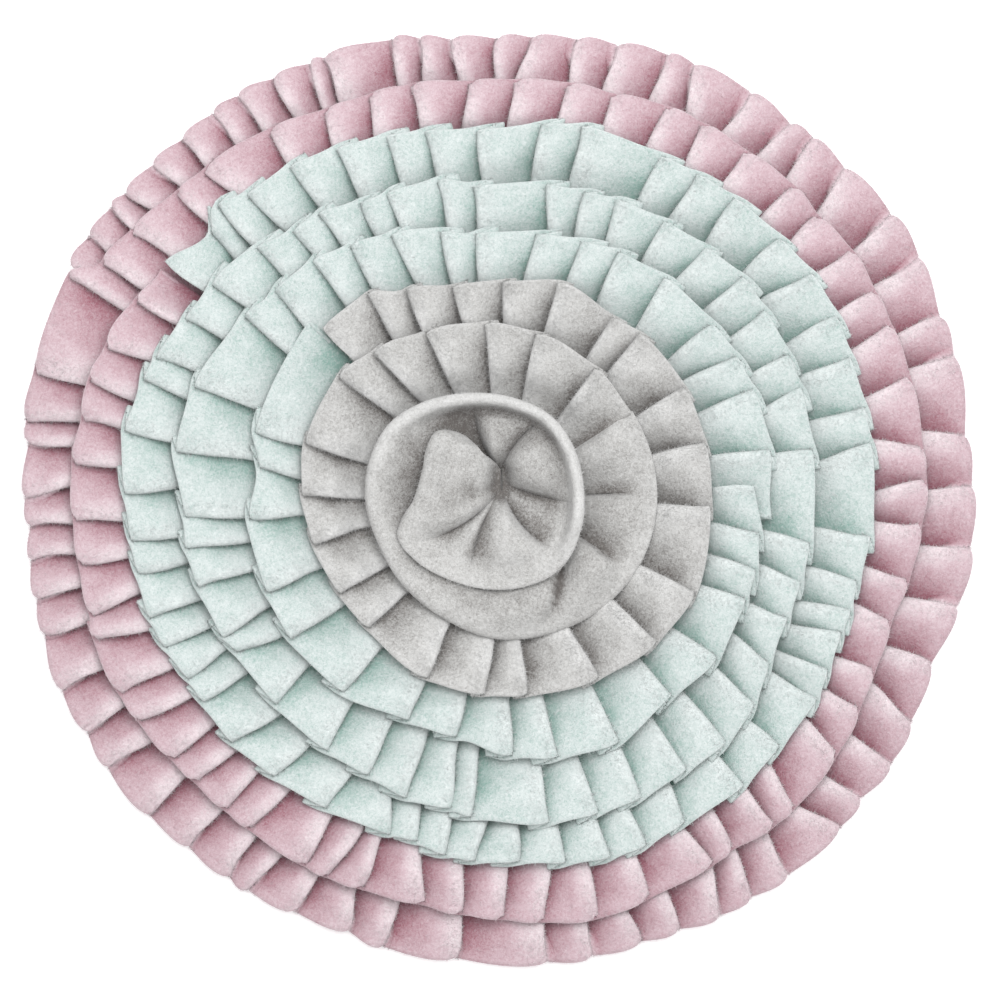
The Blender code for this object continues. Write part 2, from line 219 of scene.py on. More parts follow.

# The rim's cut edge gets a painted highlight: where along the strip, and where across it
RIM_BEGINS = (6.9, 7.05)
RIM_ENDS = (7.45, 7.6)
RIM_WIDTH = (0.87, 0.93)

# Where the strip runs on with no pleats, it still lifts in soft folds that fade out before its hem.
# lean: degrees that the edge turns on its way out; dim: share of the fold that gets painted shade from the
# next one
Lift = namedtuple("Lift", "edge height lean dim")
LIFTS = (
    Lift(34, 6.5, -1, 0.45), Lift(3, 6.0, -2, 0.75), Lift(-24, 6.5, -7, 0.4), Lift(-38, 5.0, -38, 0.0),
    Lift(-105, 0.0, 0, 0.0),
)
LIFT_TURN = 6  # the lifts' angles are counted in this turn
LIFT_ROUND = 0.14  # share of its width over which a fold rounds up from its edge
LIFT_SINKS = (0.25, 1.0)
LIFT_STARTS = (0.0, 0.2)  # shares of the cloth's width between which it rises from the seam
LIFT_FADES = (0.6, 0.95)
CUP_TURN = 7  # the cup's soft folds are counted in this one

# How a pleat is laid, from its upper fold to the next one. x: share of the way to the next fold;
# tuck: share of the underlap past it; level, hem_level: share of the fold's height, at the seam and at the
# hem; layers: cloth layers above that; depth: painted shade in a crease, below 0 a painted highlight
# on a fold's top; lip: how far it stands out there
Lay = namedtuple("Lay", "x tuck level hem_level layers depth lip")
PLEAT = (
    Lay(0.00, 0.00, 1.00, 1.00, 0.00, -0.35, 0.0), Lay(0.08, 0.00, 1.05, 1.03, 0.00, -0.25, 0.0),
    Lay(0.22, 0.00, 1.00, 1.02, 0.00, -0.05, 0.0), Lay(0.40, 0.00, 0.86, 0.98, 0.00, 0.02, 0.0),
    Lay(0.58, 0.00, 0.62, 0.92, 0.00, 0.12, 0.1), Lay(0.75, 0.00, 0.32, 0.83, 0.00, 0.40, 0.3),
    Lay(0.90, 0.00, 0.08, 0.62, 0.00, 0.85, 0.6), Lay(1.00, 0.25, 0.00, 0.32, 0.00, 1.00, 0.9),
    Lay(1.00, 0.92, 0.00, 0.04, 0.06, 1.00, 1.0), Lay(1.00, 1.10, 0.00, 0.02, 0.50, 1.00, 1.0),
    Lay(1.00, 0.92, 0.00, 0.04, 0.94, 1.00, 0.85), Lay(1.00, 0.50, 0.35, 0.35, 0.60, 0.40, 0.5),
    Lay(1.00, 0.05, 1.00, 1.00, -0.94, -0.30, 0.1), Lay(1.00, -0.12, 1.00, 1.00, -0.50, -0.40, 0.0),
)
TOPS = (PLEAT[0], PLEAT[1], PLEAT[12], PLEAT[13])  # the rounded top of a fold
LAST_LAY = 8  # a fold that smooth cloth follows is laid only so far
# Where points are laid between the seam and the hem
SHARES = (0.0, 0.2, 0.4, 0.5, 0.58, 0.66, 0.74, 0.82, 0.89, 0.95, 1.0)
CUP_SHARES = (0.0, 0.025, 0.06, 0.1, 0.15, 0.21, 0.28, 0.36, 0.44, 0.52, 0.6, 0.67, 0.73, 0.79, 0.83, 0.86,
              0.88, 0.9, 0.93, 0.96, 0.98, 1.0)
SMOOTH_STEP = 1.5  # degrees between lines where the cloth has no pleats
FINER = 2  # lines laid for each row of PLEAT

CLOTH = 1.5
HEM_THIN = 0.8  # the cut edge is this much thinner
HEM_LIP = 0.35  # and stands out by this much, rounded
LAYER = 1.9  # from the middle of one layer to the next
FOLD_DIP = 0.2
HELD_FOLD = 5.4  # height of a fold under the next turn
HELD_FOLD_IN_CUP = 2.6
CUP_NEAR = (5.7, 6.0)  # turns between which the held folds get lower for the cup

# What changes along a pleat from its seam to its hem. A pair: the shares of the width between which it does
UNCOVERED = (0.42, 0.66)  # a fold rises to its full height
HEM_FLATTENS = (0.65, 1.0)
FLATTER_HEM = 0.62  # height of a fold at the hem, as a share of its height
LEVELS_CHANGE = (0.5, 0.85)  # from a Lay's level to its hem_level
LAYERS_LOOSEN = (0.55, 1.0)
WAVE_OPEN = 2.0  # how far a soft fold opens towards the hem
WAVE_OPENS = (0.45, 0.85)
UNDER_TAPER = 0.5  # share of the underlap that is left at the seam
UNDER_GROWS = (0.35, 0.75)
UNDER_MOST = 0.72  # longest underlap, as a share of the narrower pleat beside it
REACH_POWER = 6  # how late towards the hem a pleat strays out
HEM_POWER = 8  # how late it takes its scallop and its lip
FLOOR_LIP = 0.2  # share of the lip where the strip still lies on the floor
RIDGE = 0.6  # below 1, a pleat stands out farthest near its upper fold
HEM_BACK = 1.0  # the rounded hems stand out by this much, so that the cloth is laid shorter

# Painted light and shade in the cloth's colour: painted highlights on cut edges, painted shade in creases
HEM_PAINTED_HIGHLIGHT = 0.35  # a cut edge gets a painted highlight
# the rim's cut edge gets a painted highlight this strong
RIM_PAINTED_HIGHLIGHT = 0.4
CREASE_THINS = (0.85, 1.25)  # narrowness of a crease's painted shade at the next turn's hem and near its own
CREASE_ALONG = (0.58, 0.9)
CREASE_FADES = (0.7, 1.0)

# The pile: hairs stand on the folds and along the hems, and a few on the panels
CREST_HAIR = 6.0  # how thickly they stand there
PANEL_HAIR = 0.7
NAP_STAND = 0.7  # how much a hair stands square to the cloth
NAP_STRAY = 0.9  # how much it leans any way
NAP_LENGTH = (0.8, 2.2)
NAP_WIDTH = 0.19
NAP_ROOT = 0.1  # how deep its root is in the cloth
NAP_CORNERS = 4  # of a hair: three at the root and its tip
NAP_PAINTED_HIGHLIGHT = -0.35  # hairs get a painted highlight over the cloth under them
HEM_HAIR = 0.14  # share of the hairs that stand on the hem
NAP_TRIES = 3.4  # places looked at for each hair, since covered ones get none
COVER_FROM = 0.25  # a place is covered if cloth is more than this above it
COVER_TO = 50.0
ASKEW = (0.31, 0.52, 0.79)  # a direction that no hair takes exactly

# fold: height of the folds at the hem; underlap: how far they fold back; uneven: how far they stray, as a
# share of their width; slant: degrees that they lean; reach: mm that hems stray; puff: fullness of a pleat;
# slope: 1 where pleats sink evenly to the next one, 0 where they stay full; loose: layer spacing at the hem;
# wave: how far folds open; scallop: how far each pleat's hem bulges; lip: how far the lower layers stand out;
# narrow: how narrow a crease's painted shade is; hem_dark: its strength at the hem; shares: where points are
# laid
Style = namedtuple(
    "Style", "fold underlap uneven slant reach puff slope loose wave scallop lip narrow hem_dark shares"
)
STYLES = {
    "pink": Style(7.2, 5.5, 0.08, 1.6, 1.1, 0.5, 0.7, 1.9, 1.0, 1.9, 2.0, 0.42, 0.4, SHARES),
    "mint": Style(7.6, 8.0, 0.08, 1.6, 0.9, 0.4, 0.25, 2.0, 0.35, 0.3, 2.6, 0.75, 0.1, SHARES),
    "grey": Style(7.8, 5.0, 0.0, 1.6, 0.8, 0.6, 0.6, 1.8, 0.5, 0.5, 1.6, 0.62, 0.1, CUP_SHARES),
}

# One pleat of a strip. edge: angle of its upper fold; width: degrees to the next; under: its underlap;
# high: its height at the hem; slant, reach, puff, wave: as in Style; bend: degrees that its fold curves
Pleat = namedtuple("Pleat", "edge width under high slant reach puff wave bend")
BEND = (0.4, 1.6)  # how far a fold curves, as a share of its slant, and in how many half waves

# How much pleats differ, as shares of what their style says
UNDER_SPREAD = (0.8, 1.2)
HIGH_SPREAD = (0.82, 1.22)
PUFF_SPREAD = (-0.6, 1.0)
WAVE_SPREAD = (0.5, 1)
UPPER_WAVE = 0.18  # how far a fold opens at most once the strip lies on its own turns

# Grains of the fleece and the felt, in grains a metre, and how much the fleece's three count
CLUMP_GRAIN, PILE_GRAIN, PATCH_GRAIN, FELT_GRAIN = 950.0, 2300.0, 140.0, 1400.0
CLUMPS, PILE, PATCHES = 1.05, 0.85, 0.4
MOTTLE_MIDDLE = 1.15  # their mean
CREASE_PAINTED_SHADE = 0.45  # how much darker the painted shade makes a crease
OWN_TONE = 0.5  # where its own colour is, between the deep and the light one
FELT_DARK = 0.86

# A fleece's tones. grain: strength of its mottle; deep: its colour under the painted shade in creases, also
# reached by its darkest mottle; light: how much nearer to white its raised pile and its painted highlights
# are
Tone = namedtuple("Tone", "grain deep light")
TONES = {
    "pink": Tone(0.6, (0.31, 0.125, 0.158), 0.5),
    "mint": Tone(0.95, (0.25, 0.385, 0.345), 0.42),
    "grey": Tone(0.8, (0.15, 0.138, 0.13), 0.45),
}

# The stage, in metres
FLOOR_HALF = 3.0
FLOOR_DROP = 0.0002
LAMP_AT = (0.16, 0.55, 1.8)
LAMP_SIZE = 1.6
SIGHT_HEIGHT = 0.02  # where the view is as wide as the settings say
SENSOR = 36.0
SIGHT_END = 20.0


def between(low, high, x):
    """0 below low, 1 above high, and a smooth change from one to the other."""
    t = min(1.0, max(0.0, (x - low) / (high - low)))
    return t * t * (3 - 2 * t)


def mix(a, b, t):
    return a + (b - a) * t


def turns_at(angle):
    """How far along the seam an unwrapped angle is, in turns from the pink strip's start."""
    return (SEAM_ANGLE - angle) / 360


def unwrapped(sections, first_turn):
    """The sections with angles that go down without a break, from a given whole turn of the seam on."""
    lap, rows = 360 * first_turn, []
    for row in sections:
        angle = row.edge - lap
        if rows and angle > rows[-1].edge:
            lap += 360
            angle -= 360
        rows.append(row._replace(edge=angle))
    return rows


def seam_at(turns):
    """Radius of the seam, which ends as the small ring where the cup is gathered."""
    low, high = SEAM_STEP
    steps = sum(between(k + low, k + high, turns) for k in range(1, TURNS_IN + 1))
    radius = SEAM_RADIUS + START_OUT * (1 - between(0, START_FADE, turns)) - SEAM_PITCH * steps
    return max(radius, RING_RADIUS)


def bend_at(turns):
    """Radius where a strip bends: at the seam of the turn outside, which it lies over."""
    own, outside = seam_at(turns) + SEAM_PITCH, seam_at(turns - 1)
    return own + (outside - own) * between(*DROOP, turns)


def underside(turns, radius):
    """Height of a strip's lowest layer outside the cup: it lies on the base, then on the turn outside."""
    seam, bend, climb = seam_at(turns), bend_at(turns), between(*CLIMB, turns)
    if radius <= bend:
        return SEAM_HEIGHT + climb * TURN_LIFT * (radius - seam) / (bend - seam)
    rise = between(*CLIMB, turns - 1) * TURN_LIFT / (bend_at(turns - 1) - bend)
    drop = (1 - climb) * (SEAM_HEIGHT - HEM_ON_FLOOR) / FLOOR_REACH
    return SEAM_HEIGHT + climb * TURN_LIFT + (rise - drop) * (radius - bend)


def shaped_height(turns, share, low):
    """Height of the smooth cloth between its seam, at low, and its hem."""
    for a, b in zip(STATIONS, STATIONS[1:]):
        if turns <= b.turns:
            break
    along = between(a.turns, b.turns, turns)
    rise = mix(np.interp(share, SHAPE_AT, a.shape), np.interp(share, SHAPE_AT, b.shape), along)
    return low + (mix(a.top, b.top, along) - low) * rise


def rounded(x):
    """A quarter of a circle: steep at 0 and level from 1 on."""
    return math.sqrt(max(0.0, 1 - (1 - min(1.0, max(0.0, x))) ** 2))


def lobe_at(angle, share):
    """A soft fold of the cup, share of the way from the gathers to the rim: its height over the wall, the
    painted shade in a valley there, and how far it stands out of the wall's painted shade."""
    local = angle + 360 * CUP_TURN
    for lobe, after in zip(LOBES, LOBES[1:]):
        first, last = mix(lobe.near, lobe.far, share), mix(after.near, after.far, share)
        if last < local <= first:
            across = (first - local) / (first - last)
            full = rounded(across / lobe.first) * rounded((1 - across) / lobe.last)
            rise = np.interp(share, LOBE_AT, LOBE_RISE)
            # painted shade in the valleys at either side of the fold
            dark = max(1 - between(0, lobe.dim_first, across), 1 - between(0, lobe.dim_last, 1 - across))
            dark *= 1 - between(*VALLEY_FADES, share)
            return lobe.crown * full * rise, dark, (lobe.crown > LOBE_BULGES) * full * rise
    return 0.0, 0.0, 0.0


def hem_at(rows, angle):
    """Radius of the free edge at an unwrapped angle: one smooth curve where the cloth has no pleats."""
    for i, (a, b) in enumerate(zip(rows, rows[1:])):
        if angle >= b.edge:
            if a.pleats:
                return mix(a.hem, b.hem, between(a.edge, b.edge, angle))
            before, after = rows[i - 1], rows[min(i + 2, len(rows) - 1)]
            t, span = (a.edge - angle) / (a.edge - b.edge), a.edge - b.edge
            leave = (b.hem - before.hem) / max(before.edge - b.edge, span) * span
            reach = (after.hem - a.hem) / max(a.edge - after.edge, span) * span
            s, q = t * t * (3 - 2 * t), t * (1 - t)
            return mix(a.hem, b.hem, s) + q * ((1 - t) * leave - t * reach)
    return rows[-1].hem


def pleats_of(rows, style, rng):
    """Every pleat of a strip, each a little unlike its neighbours."""
    folds = []
    for row, after in zip(rows, rows[1:]):
        width = (row.edge - after.edge) / max(row.pleats, 1)
        for k in range(max(row.pleats, 1)):
            folds.append((row.edge - k * width, width, row.pleats > 0))
    pleats = []
    for i, (edge, width, folded) in enumerate(folds):
        room = min(folds[i - 1][1], width) if i else 0.0
        pleats.append(
            Pleat(
                edge + rng.uniform(-1, 1) * style.uneven * room * folded,
                width,
                style.underlap * rng.uniform(*UNDER_SPREAD),
                style.fold * rng.uniform(*HIGH_SPREAD) * folded,
                style.slant * rng.uniform(-1, 1) * folded,
                style.reach * rng.uniform(-1, 1),
                style.puff * rng.uniform(*PUFF_SPREAD),
                mix(style.wave * rng.uniform(*WAVE_SPREAD), UPPER_WAVE * rng.uniform(0, 1),
                    between(*CLIMB, turns_at(edge))),
                BEND[0] * style.slant * rng.uniform(-1, 1) * folded,
            )
        )
    pleats.append(Pleat(rows[-1].edge, folds[-1][1], style.underlap, 0.0, 0.0, 0.0, 0.0, 0.0, 0.0))
    return pleats


def lift_at(angle, share):
    """A soft fold of cloth that has no pleats, which rises at its edge and sinks towards the next one: how
    high it lifts, and the painted shade that the next one lays on the cloth."""
    local = angle + 360 * LIFT_TURN
    for fold, after in zip(LIFTS, LIFTS[1:]):
        start, end = fold.edge + fold.lean * share, after.edge + after.lean * share
        if end < local <= start:
            across = (start - local) / (start - end)
            rise = fold.height * rounded(across / LIFT_ROUND) * (1 - between(*LIFT_SINKS, across))
            fade = 1 - between(*LIFT_FADES, share)
            dark = between(1 - fold.dim, 1.0, across) if fold.dim else 0.0
            return rise * fade * between(*LIFT_STARTS, share), dark * fade
    return 0.0, 0.0


def dents_at(x, y, turns):
    """How far smooth cloth is dented at a place, and how much painted shade it gets there."""
    sink = dark = 0.0
    for dent in DENTS:
        if turns > dent.turns:
            near = math.exp(-((x - dent.x) / dent.wide) ** 2 - ((y - dent.y) / dent.long) ** 2)
            near *= between(dent.turns, dent.turns + DENT_FADE, turns)
            sink, dark = sink + dent.sink * near, dark + dent.dark * near
    return sink, dark


def wall_painted_shade(angle, share):
    """The painted shade on the cup's wall below its rim."""
    turns = turns_at(angle)
    for a, b in zip(DIMS, DIMS[1:]):
        if a.turns <= turns < b.turns:
            dark, low, high = (mix(x, y, between(a.turns, b.turns, turns)) for x, y in zip(a[1:], b[1:]))
            return dark * (1 - between(low, high, share))
    return 0.0


def wall_at(rows, angle, share):
    """The cloth with no pleat in it, at a share of its width: x, y, z of its underside, and radius."""
    turns = turns_at(angle)
    along = math.radians(angle)
    seam, hem = seam_at(turns), hem_at(rows, angle)
    cup = between(CUP_FROM, CUP_FULL, turns)
    radius = seam + (hem - seam) * share
    z = underside(turns, radius) if turns < SHAPED[1] else 0.0
    if turns > SHAPED[0]:
        low = SEAM_HEIGHT + (RING_HEIGHT - SEAM_HEIGHT) * cup
        low += RING_RISE * between(CUP_FROM, STRIP_END, turns)
        z = mix(z, shaped_height(turns, share, low) + lobe_at(angle, share)[0], between(*SHAPED, turns))
    z += lift_at(angle, share)[0]
    in_cup = cup * (1 - share)
    x = in_cup * (RING_X + (PIT_ACROSS - seam) * math.cos(along)) + radius * math.cos(along)
    y = in_cup * (RING_Y + (PIT_ALONG - seam) * math.sin(along)) + radius * math.sin(along)
    return x, y, z - dents_at(x, y, turns)[0], radius


def fold_height(pleat, share, turns):
    """Height of a pleat's upper fold: low where the next turn lies on it, full at the hem."""
    held = mix(HELD_FOLD, HELD_FOLD_IN_CUP, between(*CUP_NEAR, turns))
    full = pleat.high * mix(1, FLATTER_HEM, between(*HEM_FLATTENS, share))
    return mix(min(held, pleat.high), full, between(*UNCOVERED, share))


def pleat_point(rows, style, pleat, after, lay, share):
    """One point of a pleat: lay says where in the pleat, share how far from the seam to the hem."""
    curve = math.sin(math.pi * BEND[1] * share)
    start = pleat.edge + pleat.slant * share ** 2 + pleat.bend * curve
    end = after.edge + after.slant * share ** 2 + after.bend * curve
    angle = mix(start, end, lay.x)
    turns = turns_at(angle)
    radius = mix(seam_at(turns), hem_at(rows, angle), share)
    under = min(after.under, UNDER_MOST * math.radians(min(pleat.width, after.width)) * radius)
    opened = 1 - WAVE_OPEN * after.wave * between(*WAVE_OPENS, share)
    under *= mix(UNDER_TAPER, 1, between(*UNDER_GROWS, share)) * opened
    angle -= math.degrees(lay.tuck * under / radius)
    high = mix(fold_height(pleat, share, turns), fold_height(after, share, turns), lay.x)
    level = mix(lay.level, mix(lay.hem_level, lay.level, style.slope), between(*LEVELS_CHANGE, share))
    height = level * high + lay.layers * mix(LAYER, style.loose, between(*LAYERS_LOOSEN, share))
    height += pleat.puff * math.sin(math.pi * lay.x) * share
    x, y, z, radius = wall_at(rows, angle, share)
    out = share ** REACH_POWER * mix(pleat.reach, after.reach, lay.x)
    lip = style.lip * lay.lip * mix(FLOOR_LIP, 1, between(*CLIMB, turns))
    out += (style.scallop * math.sin(math.pi * lay.x ** RIDGE) + lip - HEM_BACK) * share ** HEM_POWER
    grow = (radius + out) / radius
    return x * grow, y * grow, z + CLOTH / 2 + FOLD_DIP + height


def painted_shade_at(rows, angle, share):
    """The painted shade of cloth with no pleats: in the cup's valleys, on its wall, in its pit, by a lift or
    in a dent. Its rim gets a painted highlight."""
    turns = turns_at(angle)
    valley, bulge = lobe_at(angle, share)[1:]
    deep = max(valley, wall_painted_shade(angle, share) * (1 - LOBE_CLEAR * bulge))
    if turns > CUP_FULL:
        deep = max(deep, 1 - between(*PIT_FADES, share))
    pale = between(*RIM_BEGINS, turns) * (1 - between(*RIM_ENDS, turns)) * between(*RIM_WIDTH, share)
    x, y = wall_at(rows, angle, share)[:2]
    return max(deep, lift_at(angle, share)[1]) + dents_at(x, y, turns)[1] - RIM_PAINTED_HIGHLIGHT * pale


def crease_at(style, lay, share):
    """The painted shade of a point of a pleat in its crease, and the painted highlight on a fold's top: the
    shade is broad at the next turn's hem and thins out towards its own."""
    deep = abs(lay.depth) ** (style.narrow * mix(*CREASE_THINS, between(*CREASE_ALONG, share)))
    return math.copysign(deep, lay.depth) * mix(1, style.hem_dark, between(*CREASE_FADES, share))


def smooth_point(rows, angle, share):
    """One point of cloth with no pleats in it."""
    x, y, z = wall_at(rows, angle, share)[:3]
    return x, y, z + CLOTH / 2 + FOLD_DIP


def smooth_line(points, count):
    """A smooth curve through lines of points, with count lines laid for each stretch between two of them."""
    ends = np.concatenate([2 * points[:1] - points[1:2], points, 2 * points[-1:] - points[-2:-1]])
    a, b, c, d = ends[:-3], ends[1:-2], ends[2:-1], ends[3:]
    laid = []
    for step in range(count):
        t = step / count
        laid.append(b + 0.5 * t * (c - a + t * (2 * a - 5 * b + 4 * c - d + t * (3 * (b - c) + d - a))))
    curve = np.stack(laid, axis=1).reshape(-1, *points.shape[1:])
    return np.concatenate([curve, points[-1:]])


Laid = namedtuple("Laid", "lines depth crest")


def strip_lines(sections, first_turn, start_up, style, rng):
    """A strip's middle: lines of points from seam to hem, one after the other along the strip, with the
    painted shade of each point, darker in creases and paler on fold tops, and how near each line is to the
    top of a fold."""
    rows = unwrapped(sections, first_turn)
    pleats = pleats_of(rows, style, rng)
    pleats[0] = pleats[0]._replace(high=pleats[0].high + start_up)
    lines, depth, crest = [], [], []
    for pleat, after in zip(pleats, pleats[1:]):
        if pleat.high:
            for lay in PLEAT if after.high else PLEAT[:LAST_LAY]:
                lines.append([pleat_point(rows, style, pleat, after, lay, share) for share in style.shares])
                depth.append([crease_at(style, lay, share) for share in style.shares])
                crest.append(CREST_HAIR if lay in TOPS else PANEL_HAIR)
        else:
            count = max(1, round((pleat.edge - after.edge) / SMOOTH_STEP))
            for k in range(count):
                angle = mix(pleat.edge, after.edge, k / count)
                lines.append([smooth_point(rows, angle, share) for share in style.shares])
                depth.append([painted_shade_at(rows, angle, share) for share in style.shares])
                crest.append(PANEL_HAIR)
    lines.append([smooth_point(rows, rows[-1].edge, share) for share in style.shares])
    depth.append([0.0] * len(style.shares))
    crest.append(PANEL_HAIR)
    fine = [smooth_line(np.array(grid), FINER) for grid in (lines, depth, crest)]
    return Laid(*fine)


def unit(vectors):
    return vectors / np.maximum(np.linalg.norm(vectors, axis=-1, keepdims=True), 1e-9)


def square_to(lines):
    """The direction square to the cloth at each point of its middle."""
    along = np.gradient(lines, axis=0)
    across = np.gradient(lines, axis=1)
    return unit(np.cross(across, along))


def cloth_mesh(name, laid):
    """A closed sheet round its middle: upper face, lower face, rounded hem, seam edge and two ends."""
    lines, depth = laid.lines, laid.depth
    count, across = lines.shape[:2]
    half = square_to(lines) * CLOTH / 2
    thin = np.ones(across)
    thin[-1] = HEM_THIN
    half = half * thin[None, :, None]
    lip = lines[:, -1] + unit(lines[:, -1] - lines[:, -2]) * HEM_LIP
    ring = np.concatenate([lines + half, lip[:, None], (lines - half)[:, ::-1]], axis=1)
    points = ring.reshape(-1, 3) * MM
    # painted shade for both faces, and a painted highlight on the hem's lip
    deep = np.concatenate([depth, depth[:, -1:] - HEM_PAINTED_HIGHLIGHT, depth[:, ::-1]], axis=1)
    size = ring.shape[1]
    faces = []
    for i in range(count - 1):
        for k in range(size):
            a, b = i * size + k, i * size + (k + 1) % size
            faces.append((a, b, b + size, a + size))
    for start, turned in ((0, False), ((count - 1) * size, True)):
        for k in range(across - 1):
            face = (start + k, start + size - 1 - k, start + size - 2 - k, start + k + 1)
            faces.append(face[::-1] if turned else face)
        tip = (start + across - 1, start + size - across, start + across)
        faces.append(tip[::-1] if turned else tip)
    mesh = bpy.data.meshes.new(name)
    mesh.from_pydata(points.tolist(), [], faces)
    mesh.attributes.new("depth", "FLOAT", "POINT").data.foreach_set("value", deep.astype(np.float32).ravel())
    solid = bmesh.new()
    solid.from_mesh(mesh)
    bmesh.ops.recalc_face_normals(solid, faces=solid.faces)
    solid.to_mesh(mesh)
    solid.free()
    mesh.shade_smooth()
    return mesh


def place(name, mesh, material):
    """A finished piece that rides with the mat."""
    mesh.materials.append(material)
    piece = bpy.data.objects.new(name, mesh)
    bpy.context.scene.collection.objects.link(piece)
    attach(piece, BODY)
    return piece


class Wire:
    """A socket of a shader, on which maths can be written. Numbers only: colours use mixed."""

    def __init__(self, shader, socket):
        self.shader, self.socket = shader, socket

    def _math(self, operation, *values):
        return self.shader.node("ShaderNodeMath", {"operation": operation}, dict(enumerate(values)))

    def __add__(self, other):
        return self._math("ADD", self, other)

    def __mul__(self, other):
        return self._math("MULTIPLY", self, other)

    def __sub__(self, other):
        return self._math("SUBTRACT", self, other)

    def __rsub__(self, other):
        return self._math("SUBTRACT", other, self)

    __radd__ = __add__
    __rmul__ = __mul__


class Shader:
    """A material under construction, with its Principled shader ready."""

    def __init__(self, name):
        self.material = bpy.data.materials.new(name)
        self.material.use_nodes = True
        self.tree = self.material.node_tree
        self.skin = self.tree.nodes["Principled BSDF"]

    def node(self, kind, settings=None, sockets=None, output=0):
        """Adds a node, sets it, links or fills its sockets, and gives back one of its outputs."""
        made = self.tree.nodes.new(kind)
        for name, value in (settings or {}).items():
            if name == "stops":
                self._stops(made.color_ramp, value)
            else:
                setattr(made, name, value)
        for key, value in (sockets or {}).items():
            self.feed(made.inputs[key], value)
        return Wire(self, made.outputs[output])

    def _stops(self, ramp, stops):
        while len(ramp.elements) < len(stops):
            ramp.elements.new(1.0)
        for element, (place_on_ramp, colour) in zip(ramp.elements, stops):
            element.position = place_on_ramp
            element.color = (*colour, 1)

    def feed(self, socket, value):
        if isinstance(value, Wire):
            self.tree.links.new(value.socket, socket)
        else:
            socket.default_value = value

    def skin_of(self, **sockets):
        for name, value in sockets.items():
            self.feed(self.skin.inputs[name.replace("_", " ")], value)
        return self.material

    def noise(self, where, scale, detail=2.0, roughness=0.5, distortion=0.0):
        """Noise from 0 to 1, scale in grains a metre."""
        sockets = {"Vector": where, "Scale": scale, "Detail": detail, "Roughness": roughness,
                   "Distortion": distortion}
        return self.node("ShaderNodeTexNoise", {}, sockets)

    def mixed(self, share, first, second):
        """A colour between two colours. The node's colour sockets are its sixth and seventh, from 0."""
        settings = {"data_type": "RGBA", "blend_type": "MIX"}
        return self.node("ShaderNodeMix", settings, {0: share, 6: first, 7: second}, output=2)


def fleece(name, grain, deep, own, light):
    """Napped fleece: short soft pile in small clumps of random tone, with painted shade in the creases and
    painted highlights on fold tops, hems and hairs.
    """
    cloth = Shader(name)
    where = cloth.node("ShaderNodeTexCoord", output=3)
    depth = cloth.node("ShaderNodeAttribute", {"attribute_name": "depth"}, output=2)
    clumps = cloth.noise(where, CLUMP_GRAIN, 3.0, 0.6, 0.8)
    pile = cloth.noise(where, PILE_GRAIN, 2.0, 0.7, 0.4)
    patches = cloth.noise(where, PATCH_GRAIN)
    mottle = clumps * CLUMPS + pile * PILE + patches * PATCHES - MOTTLE_MIDDLE
    # the mottle is the fleece's own tone; the painted shade darkens the creases and paints highlights on fold
    # tops
    tone = mottle * grain - depth * CREASE_PAINTED_SHADE + OWN_TONE
    stops = ((0.0, deep), (0.5, own), (1.0, light))
    shade = cloth.node("ShaderNodeValToRGB", {"stops": stops}, {"Fac": tone})
    relief = clumps * 0.7 + pile * 0.3
    bump = cloth.node("ShaderNodeBump", {}, {"Strength": 0.6, "Distance": 0.0007, "Height": relief})
    return cloth.skin_of(
        Base_Color=shade, Roughness=0.95, Metallic=0.0, Normal=bump, Specular_IOR_Level=0.1,
        Sheen_Weight=0.35, Sheen_Roughness=0.45, Sheen_Tint=(1, 1, 1, 1),
    )


def felt(name, colour):
    """The base's pressed felt: flat and dull, with a fine grain."""
    cloth = Shader(name)
    where = cloth.node("ShaderNodeTexCoord", output=3)
    grain = cloth.noise(where, FELT_GRAIN, 4.0, 0.7)
    shade = cloth.mixed(grain, tuple(c * FELT_DARK for c in colour) + (1,), (*colour, 1))
    bump = cloth.node("ShaderNodeBump", {}, {"Strength": 0.3, "Distance": 0.0003, "Height": grain})
    return cloth.skin_of(Base_Color=shade, Roughness=1.0, Metallic=0.0, Normal=bump, Specular_IOR_Level=0.1)


def soft_lamp(name, place_at, size, power):
    """A round lamp that shines on the mat's middle."""
    data = bpy.data.lights.new(name, "AREA")
    data.shape = "DISK"
    data.size = size
    data.energy = power
    lamp = bpy.data.objects.new(name, data)
    lamp.location = place_at
    lamp.rotation_euler = (-Vector(place_at)).to_track_quat("-Z", "Y").to_euler()
    bpy.context.scene.collection.objects.link(lamp)


def cloth_colour(name, piece, colour):
    about = "Colour of the " + piece
    return bpy.props.FloatVectorProperty(
        name=name, description=about, default=colour, size=3, subtype="COLOR", min=0, max=1
    )


class SnuffleMatSettings(bpy.types.PropertyGroup):
    """Sizes and colours of the mat."""

    seed: bpy.props.IntProperty(name="Seed", description="Which of the many uneven pleatings", default=7)
    pink: cloth_colour("Pink", "outer strip", (0.55, 0.412, 0.45))
    mint: cloth_colour("Mint", "middle strip", (0.53, 0.59, 0.58))
    grey: cloth_colour("Grey", "inner strip", (0.483, 0.48, 0.471))
    felt: cloth_colour("Felt", "base", (0.78, 0.77, 0.75))


class StageSettings(bpy.types.PropertyGroup):
    """The floor, camera and lights."""

    view_width: bpy.props.FloatProperty(
        name="View width", description="Width of floor that the camera sees", default=0.4, unit="LENGTH"
    )
    camera_height: bpy.props.FloatProperty(
        name="Camera height", description="Height of the camera above the floor", default=3.0, unit="LENGTH"
    )
    lamp_power: bpy.props.FloatProperty(
        name="Lamp power", description="Power of the soft lamp overhead", default=30.5, unit="POWER"
    )
    sky: bpy.props.FloatProperty(
        name="Sky", description="Strength of the light from all round", default=0.75
    )


def tones_of(colour, deep, light):
    """A fleece's colour under the painted shade of its creases, its own, and a paler one, nearer to white,
    for its raised pile and its painted highlights.
    """
    return deep, tuple(colour), tuple(mix(c, 1.0, light) for c in colour)


